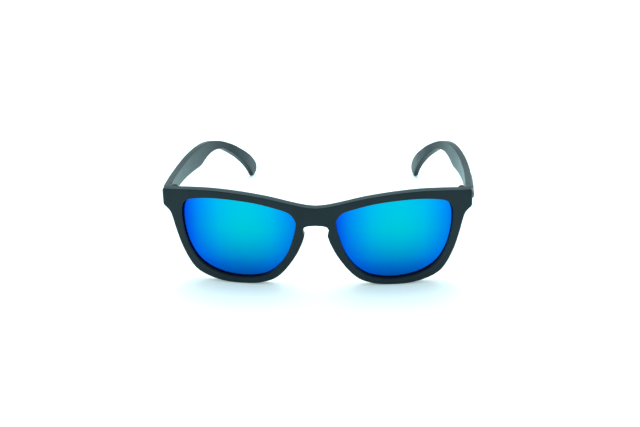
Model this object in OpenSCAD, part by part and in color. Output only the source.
// Full-rim sunglasses with a keyhole bridge, snapped-in mirrored lenses and folding ear-hook temples.
// +X is the wearer's left, -Y is the front, +Z is up. The rims and the temple tips stand on z = 0.

/* [Front] */
// Radius that the whole front is wrapped to, seen from above
wrap_radius = 323; // [250:1:450]
// Thickness of the front moulding from its face to its back
front_thickness = 4.0; // [3.6:0.1:5]
// Half of the width across the end pieces
half_width = 72.1; // [71.6:0.1:72.6]
// Height of the keyhole's top above the rim bottoms
keyhole_top = 31.2; // [30.8:0.1:32]
// How far the moulded nose bearings stand back from the rims
nose_pad_depth = 3.0; // [1:0.1:4]

/* [Lenses] */
// Radius of the spherical front surface of a lens
lens_radius = 158; // [130:1:240]
// Thickness of a lens
lens_thickness = 2.0; // [1.6:0.1:2.2]
// Depth of the rim groove that holds a lens
groove_depth = 0.75; // [0.4:0.05:1]
// How far the middle of a lens lies behind the face of the front
lens_recess = 0.25; // [0.1:0.05:0.6]

/* [Temples] */
// Thickness of a temple along its length
temple_thickness = 3.3; // [3:0.1:3.6]
// Thickness of a temple at the end of its tip
tip_thickness = 2.2; // [1.8:0.1:3.3]
// Gap between the end of a temple and the back of the front
butt_gap = 0.12; // [0.1:0.01:0.3]
// Length of the gap between the two bars of a badge
badge_gap = 1.5; // [1:0.1:3]
// How far a badge stands proud of a temple
badge_height = 0.85; // [0.4:0.05:1.2]

/* [Hinges] */
// Distance of a hinge axis from the middle plane
pivot_x = 67.3; // [67.2:0.05:67.4]
// Distance of a hinge axis behind the face of the bridge
pivot_y = 14.3; // [14.2:0.05:14.5]
// Outer radius of the hinge barrels
barrel_r = 1.7; // [1.5:0.05:1.7]
// Height of the whole stack of barrels
barrel_h = 6.2; // [5.6:0.1:6.2]
// Number of barrels in the stack, both leaves together
barrel_count = 5; // [3:2:5]
// Gap between one barrel and the next
barrel_gap = 0.1; // [0.05:0.01:0.15]
// Radius of the hinge screw's shank
hinge_screw_r = 0.7; // [0.6:0.05:0.8]
// Radial clearance of the hinge screw in the barrels
hinge_screw_clearance = 0.05; // [0.02:0.01:0.1]
// Radius of the small screws that hold the leaves
leaf_screw_r = 0.5; // [0.4:0.05:0.6]

/* [Hidden] */

$fn = 48;
arc_facets = 720;        // facets of the large wrap cylinders and lens spheres
curve_steps = 4;         // points on each span of a smooth outline
overall_depth = 137.4;   // from the face of the bridge to the back of the ear hooks

moulding_color = "#2b383c";
lens_color = "#00a5e6";
steel_color = "#8d9295";
badge_color = "#39464a";

// Points on a smooth curve through a list of points, ends included
function spline_point(a, b, c, d, t) =
    0.5 * ((2 * b) + (c - a) * t + (2 * a - 5 * b + 4 * c - d) * t * t
    + (3 * b - a - 3 * c + d) * t * t * t);
function spline(p, n = curve_steps) = [
    for (i = [0 : len(p) - 2])
        for (k = [0 : n - 1])
            spline_point(p[max(i - 1, 0)], p[i], p[i + 1], p[min(i + 2, len(p) - 1)], k / n),
    p[len(p) - 1]
];
// The same for a curve that closes on itself
function closed_spline(p, n = curve_steps) = [
    for (i = [0 : len(p) - 1])
        for (k = [0 : n - 1])
            spline_point(p[(i + len(p) - 1) % len(p)], p[i], p[(i + 1) % len(p)],
                p[(i + 2) % len(p)], k / n)
];
function reversed(p) = [for (i = [len(p) - 1 : -1 : 0]) p[i]];
function mirrored(p) = [for (q = p) [-q[0], q[1]]];
// Unit normal to the left of an outline at one point, from its neighbours
function left_normal(p, i) =
    let (a = p[max(i - 1, 0)], b = p[min(i + 1, len(p) - 1)], d = (b - a) / norm(b - a))
    [-d[1], d[0]];
function closed_normal(p, i) =
    let (a = p[(i + len(p) - 1) % len(p)], b = p[(i + 1) % len(p)], d = (b - a) / norm(b - a))
    [-d[1], d[0]];
// An outline moved sideways by a distance; a closed anticlockwise outline grows with grown()
function moved_left(p, d) = [for (i = [0 : len(p) - 1]) p[i] + d * left_normal(p, i)];
function grown(p, d) = [for (i = [0 : len(p) - 1]) p[i] - d * closed_normal(p, i)];

// Outline of half the front, x against z
brow_line = [[0, 40.2], [5, 40.7], [12, 42.2], [21.3, 44.4], [30.4, 45.9], [39.6, 46.9],
    [49, 47.4], [58.3, 47.2], [66, 46.75], [half_width - 0.5, 46.6]];
end_piece = [[half_width, 46.1], [half_width, 38.4]];
rim_line = [[69.4, 35.6], [68.2, 32.6], [66.4, 25], [64, 17], [60.4, 9.4], [56.5, 5.0],
    [50, 1.9], [43.5, 0.4], [37, 0], [29.7, 0.3], [24.7, 1.4], [19.6, 3.6], [14.7, 8.3],
    [9.7, 15.5], [6.6, 22], [5.45, 25.6]];
keyhole_line = [[5.4, 26.2], [5.95, 28], [5.7, 29.6], [4.3, keyhole_top - 0.4],
    [0, keyhole_top]];
half_front = concat(spline(brow_line), end_piece, spline(rim_line), spline(keyhole_line));
front_outline = concat(half_front, reversed(mirrored([for (i = [1 : len(half_front) - 2])
    half_front[i]])));

// Edge of the lens opening at the face of the rim, anticlockwise from its inner top
lens_edge = [[9.8, 34.1], [9.3, 30.7], [10.7, 24.6], [13.5, 16.8], [17.9, 10.0], [24, 5.2],
    [31, 3.4], [38, 3.25], [45, 4.4], [51.4, 7.0], [56.7, 11.4], [60.5, 18.3], [62.6, 26],
    [63.4, 33], [62.9, 38.4], [60.4, 41.7], [55, 43.0], [47.5, 43.5], [38, 43.1], [28, 41.9],
    [19.5, 39.9], [12.8, 37.6]];
lens_opening = closed_spline(lens_edge);
lens_outline = grown(lens_opening, groove_depth);
lens_mid = [36.2, 23.4];
lens_tilt = asin(lens_mid[0] / wrap_radius);
face_y = wrap_radius - sqrt(wrap_radius * wrap_radius - lens_mid[0] * lens_mid[0]);
lens_centre = [lens_mid[0] - lens_radius * sin(lens_tilt),
    face_y + lens_recess + lens_radius * cos(lens_tilt), lens_mid[1]];

// Outer face of a temple from above, y against x
temple_run = [[11, 72.1], [28, 72.6], [46, 72.4], [64, 71.0], [82, 68.1], [97, 64.3],
    [109, 59.3], [119, 53.8], [128, 49.7], [139, 46.2]];
temple_outer = spline([for (q = temple_run) [q[1], q[0]]]);
taper_start = 112;                       // distance back at which a temple starts to thin out
function temple_t(y) = temple_thickness
    - (temple_thickness - tip_thickness) * max(0, (y - taper_start) / (overall_depth - taper_start));
temple_inner = [for (i = [0 : len(temple_outer) - 1])
    temple_outer[i] + temple_t(temple_outer[i][1]) * left_normal(temple_outer, i)];
temple_band = concat(temple_outer, reversed(temple_inner));
// Top and lower edges of a temple from the side, y against z
temple_top = [[8, 46.85], [28, 44.2], [46, 42.0], [64, 40.6], [80, 39.1], [92, 36.9],
    [103, 32.9], [112, 27.6], [120, 21.5], [128, 15.1], [133.7, 9.9], [136.9, 5.9]];
temple_tip = [[overall_depth, 3.4], [136.3, 1.2], [134.3, 0.15], [132.7, 0]];
temple_low = [[131.5, 0.4], [129.2, 4.0], [124.5, 9.9], [117.7, 17.2],
    [110.8, 23.4], [104, 27.9], [96, 30.0], [87.5, 30.0], [80, 28.9]];
temple_belly = [[76, 28.9], [68, 30.2], [56, 32.2], [40, 34.8], [24, 37.0], [8, 38.8]];
temple_side = concat(spline(temple_top), spline(temple_tip), spline(temple_low),
    spline(temple_belly));
inner_x = 69.0;                          // inner face of a temple beside its hinge
inner_relief_length = 19;                // length of the relieved pocket behind the hinge axis

cut_start = -4;                          // where an outline that cuts right through the front starts
cut_length = 20;
tall = 50;                               // height that reaches past every piece
arm_length = 2.75;                       // from the hinge axis back into the temple leaf's plate
rail_length = barrel_r + 0.5;            // from the front leaf's plate back into its barrels
screw_bite = 0.05;                       // how much tighter than a small screw its hole is
barrel_low = 38.9;                       // lowest face of the stack of barrels
leaf_thickness = 0.9;
front_back_r = wrap_radius - front_thickness;
barrel_pitch = barrel_h / barrel_count;
leaf_z0 = barrel_low - 3.0;
leaf_z1 = barrel_low + barrel_h;
knuckle_swing_r = barrel_r + 0.25;
// Outline of a temple leaf's plate, y against z, tapered towards the back
temple_leaf_outline = [[pivot_y + 2.25, 39.2], [24.2, 39.2], [24.2, 41.0], [18.6, 44.0],
    [pivot_y + 2.25, 44.0]];
head_r = 0.8;
head_h = 0.35;
hinge_head_r = 1.25;
hinge_head_h = 0.5;
slot_w = 0.3;
slot_d = 0.2;
front_screw_points = [[64.5, 43.6], [66.1, 37.3]];   // x against z
temple_screw_points = [[18.7, 41.4], [22.3, 40.2]];  // y against z
front_screw_length = 2.0;
temple_screw_length = 2.4;
badge_bar_h = 3.4;
badge_start = 13.4;
badge_front_length = 8.5;
badge_rear_length = 22;
badge_seat = 0.4;                        // depth that a badge bar is let into the temple

// Puts a shape drawn from the face of the bridge backwards about the middle of the depth
module placed() {
    translate([0, -overall_depth / 2, 0]) children();
}

// Extrudes an outline drawn as x against z from y0 backwards
module upright(outline, y0, depth) {
    translate([0, y0 + depth, 0]) rotate([90, 0, 0]) linear_extrude(depth) polygon(outline);
}

// Extrudes an outline drawn as y against z from x0 outwards
module sideways(outline, x0, width) {
    translate([x0, 0, 0]) rotate([90, 0, 90]) linear_extrude(width) polygon(outline);
}

// Vertical wall between two radii of the front's wrap
module wrap_band(outer_r, inner_r) {
    translate([0, wrap_radius, -1]) difference() {
        cylinder(r = outer_r, h = tall, $fn = arc_facets);
        translate([0, 0, -1]) cylinder(r = inner_r, h = tall + 2, $fn = arc_facets);
    }
}

// Spherical shell of a left lens
module lens_shell() {
    translate(lens_centre) difference() {
        sphere(r = lens_radius, $fn = arc_facets);
        sphere(r = lens_radius - lens_thickness, $fn = arc_facets);
    }
}

// A left lens: its outline cut out of the shell
module lens_body() {
    intersection() {
        upright(lens_outline, cut_start, cut_length);
        lens_shell();
    }
}

// A small screw with a round slotted head, pointing along -Z, its head's seat at z = 0
module small_screw(shank_r, length, top_r, top_h) {
    translate([0, 0, -length]) cylinder(r = shank_r, h = length + 0.1);
    difference() {
        cylinder(r = top_r, h = top_h);
        translate([-top_r - 1, -slot_w / 2, top_h - slot_d])
            cube([2 * top_r + 2, slot_w, slot_d + 1]);
    }
}

// Both screws of a front leaf; a negative margin gives the tighter holes that they bite into
module front_leaf_screw_set(margin = 0) {
    for (p = front_screw_points)
        translate([p[0], front_plate_back(), p[1]])
            rotate([-90, 0, 0])
                small_screw(leaf_screw_r + margin, front_screw_length, head_r, head_h);
}

// Both screws of a temple leaf
module temple_leaf_screw_set(margin = 0) {
    for (p = temple_screw_points)
        translate([inner_x, p[0], p[1]])
            rotate([0, -90, 0])
                small_screw(leaf_screw_r + margin, temple_screw_length, head_r, head_h);
}

// Back face of a front leaf's plate, which is flat and let into the curved back of the front
function front_plate_back() = pivot_y - barrel_r - 0.25;

// The plate of a front leaf: an upright strip with an ear above for the first screw
module front_plate() {
    plate = [[64.9, leaf_z0], [68.3, leaf_z0], [68.3, leaf_z1], [63.3, leaf_z1],
        [63.3, leaf_z1 - 3.0], [64.9, leaf_z1 - 4.2]];
    upright(plate, front_plate_back() - leaf_thickness, leaf_thickness);
}

// One barrel of the stack, counted from below
module barrel(index, r = barrel_r) {
    translate([pivot_x, pivot_y, barrel_low + index * barrel_pitch + barrel_gap / 2])
        cylinder(r = r, h = barrel_pitch - barrel_gap);
}

module pivot_bore(r) {
    translate([pivot_x, pivot_y, barrel_low - 1]) cylinder(r = r, h = barrel_h + 2);
}

// Front leaf: the plate and every other barrel, from the lowest to the highest
module front_leaf_body() {
    difference() {
        union() {
            front_plate();
            for (i = [0 : 2 : barrel_count - 1]) {
                barrel(i);
                translate([pivot_x - barrel_r + 0.3, front_plate_back() - 0.3,
                    barrel_low + i * barrel_pitch + barrel_gap / 2])
                    cube([2 * barrel_r - 0.6, rail_length, barrel_pitch - barrel_gap]);
            }
        }
        pivot_bore(hinge_screw_r + hinge_screw_clearance);
        front_leaf_screw_set();
    }
}

// The plate of a temple leaf, let in flush with the temple's inner face, and its two arms
module temple_plate() {
    sideways(temple_leaf_outline, inner_x, leaf_thickness);
    for (i = [1 : 2 : barrel_count - 2])
        translate([inner_x - leaf_thickness, pivot_y,
            barrel_low + i * barrel_pitch + barrel_gap / 2])
            cube([2 * leaf_thickness, arm_length, barrel_pitch - barrel_gap]);
}

// Temple leaf: the plate and the barrels in between
module temple_leaf_body() {
    difference() {
        union() {
            temple_plate();
            for (i = [1 : 2 : barrel_count - 2]) barrel(i);
        }
        pivot_bore(hinge_screw_r + hinge_screw_clearance);
        temple_leaf_screw_set();
    }
}

// Hinge screw: slotted head on the top barrel, shank down through the whole stack
module hinge_screw_body() {
    translate([pivot_x, pivot_y, leaf_z1 - barrel_gap / 2])
        small_screw(hinge_screw_r, barrel_h - 0.2, hinge_head_r, hinge_head_h);
}

// Raised bearing beside the keyhole that rests on the nose
module nose_bearing() {
    run = spline([[6.9, 22.6], [8.4, 18.4], [11.1, 13.9], [14.3, 9.7]]);
    outline = concat(run, reversed(moved_left(run, 2.2)));
    upright(outline, 1, front_thickness + nose_pad_depth - 1);
}

// Front moulding
module front_body() {
    difference() {
        union() {
            intersection() {
                upright(front_outline, cut_start, cut_length);
                wrap_band(wrap_radius, front_back_r);
            }
            for (side = [0, 1]) mirror([side, 0, 0]) nose_bearing();
        }
        for (side = [0, 1]) mirror([side, 0, 0]) {
            upright(lens_opening, cut_start, cut_length);
            lens_body();
            front_plate();
            front_leaf_screw_set(-screw_bite);
        }
    }
}

// Temple moulding: side outline, bent along the run seen from above, cut to butt on the front
module temple_body() {
    difference() {
        intersection() {
            sideways(temple_side, 40, 40);
            translate([0, 0, -1]) linear_extrude(tall) polygon(temple_band);
            translate([0, wrap_radius, -2])
                cylinder(r = front_back_r - butt_gap, h = tall + 2, $fn = arc_facets);
        }
        translate([inner_x - 5, 0, barrel_low - 3])
            cube([5, pivot_y + inner_relief_length, 20]);
        translate([pivot_x, pivot_y, barrel_low - 5]) cylinder(r = knuckle_swing_r, h = 20);
        temple_plate();
        temple_leaf_screw_set(-screw_bite);
        badge_bars(badge_seat);
    }
}

// Centre height of a badge at a distance along the temple
function badge_z(y) = 41.2 - 0.115 * (y - badge_start);

// The two plain bars of a badge, as bands that follow the temple's outer face
module badge_bars(seat, proud = 0) {
    spans = [[badge_start, badge_front_length],
        [badge_start + badge_front_length + badge_gap, badge_rear_length]];
    shell = concat(moved_left(temple_outer, -proud), reversed(moved_left(temple_outer, seat)));
    intersection() {
        translate([0, 0, 20]) linear_extrude(40) polygon(shell);
        for (s = spans) {
            a = [s[0], badge_z(s[0])];
            b = [s[0] + s[1], badge_z(s[0] + s[1])];
            sideways([[a[0], a[1] - badge_bar_h / 2], [b[0], b[1] - badge_bar_h / 2],
                [b[0], b[1] + badge_bar_h / 2], [a[0], a[1] + badge_bar_h / 2]], 60, 20);
        }
    }
}

module front_frame() { color(moulding_color) placed() front_body(); }
module left_side() { placed() children(); }
module right_side() { placed() mirror([1, 0, 0]) children(); }

module lens_left() { color(lens_color) left_side() lens_body(); }
module lens_right() { color(lens_color) right_side() lens_body(); }
module temple_left() { color(moulding_color) left_side() temple_body(); }
module temple_right() { color(moulding_color) right_side() temple_body(); }
module front_hinge_leaf_left() { color(steel_color) left_side() front_leaf_body(); }
module front_hinge_leaf_right() { color(steel_color) right_side() front_leaf_body(); }
module temple_hinge_leaf_left() { color(steel_color) left_side() temple_leaf_body(); }
module temple_hinge_leaf_right() { color(steel_color) right_side() temple_leaf_body(); }
module hinge_screw_left() { color(steel_color) left_side() hinge_screw_body(); }
module hinge_screw_right() { color(steel_color) right_side() hinge_screw_body(); }
module front_leaf_screws_left() { color(steel_color) left_side() front_leaf_screw_set(); }
module front_leaf_screws_right() { color(steel_color) right_side() front_leaf_screw_set(); }
module temple_leaf_screws_left() { color(steel_color) left_side() temple_leaf_screw_set(); }
module temple_leaf_screws_right() { color(steel_color) right_side() temple_leaf_screw_set(); }
module temple_badge_left() { color(badge_color) left_side() badge_bars(badge_seat, badge_height); }
module temple_badge_right() { color(badge_color) right_side() badge_bars(badge_seat, badge_height); }

front_frame();
lens_left();
lens_right();
temple_left();
temple_right();
front_hinge_leaf_left();
front_hinge_leaf_right();
temple_hinge_leaf_left();
temple_hinge_leaf_right();
hinge_screw_left();
hinge_screw_right();
front_leaf_screws_left();
front_leaf_screws_right();
temple_leaf_screws_left();
temple_leaf_screws_right();
temple_badge_left();
temple_badge_right();
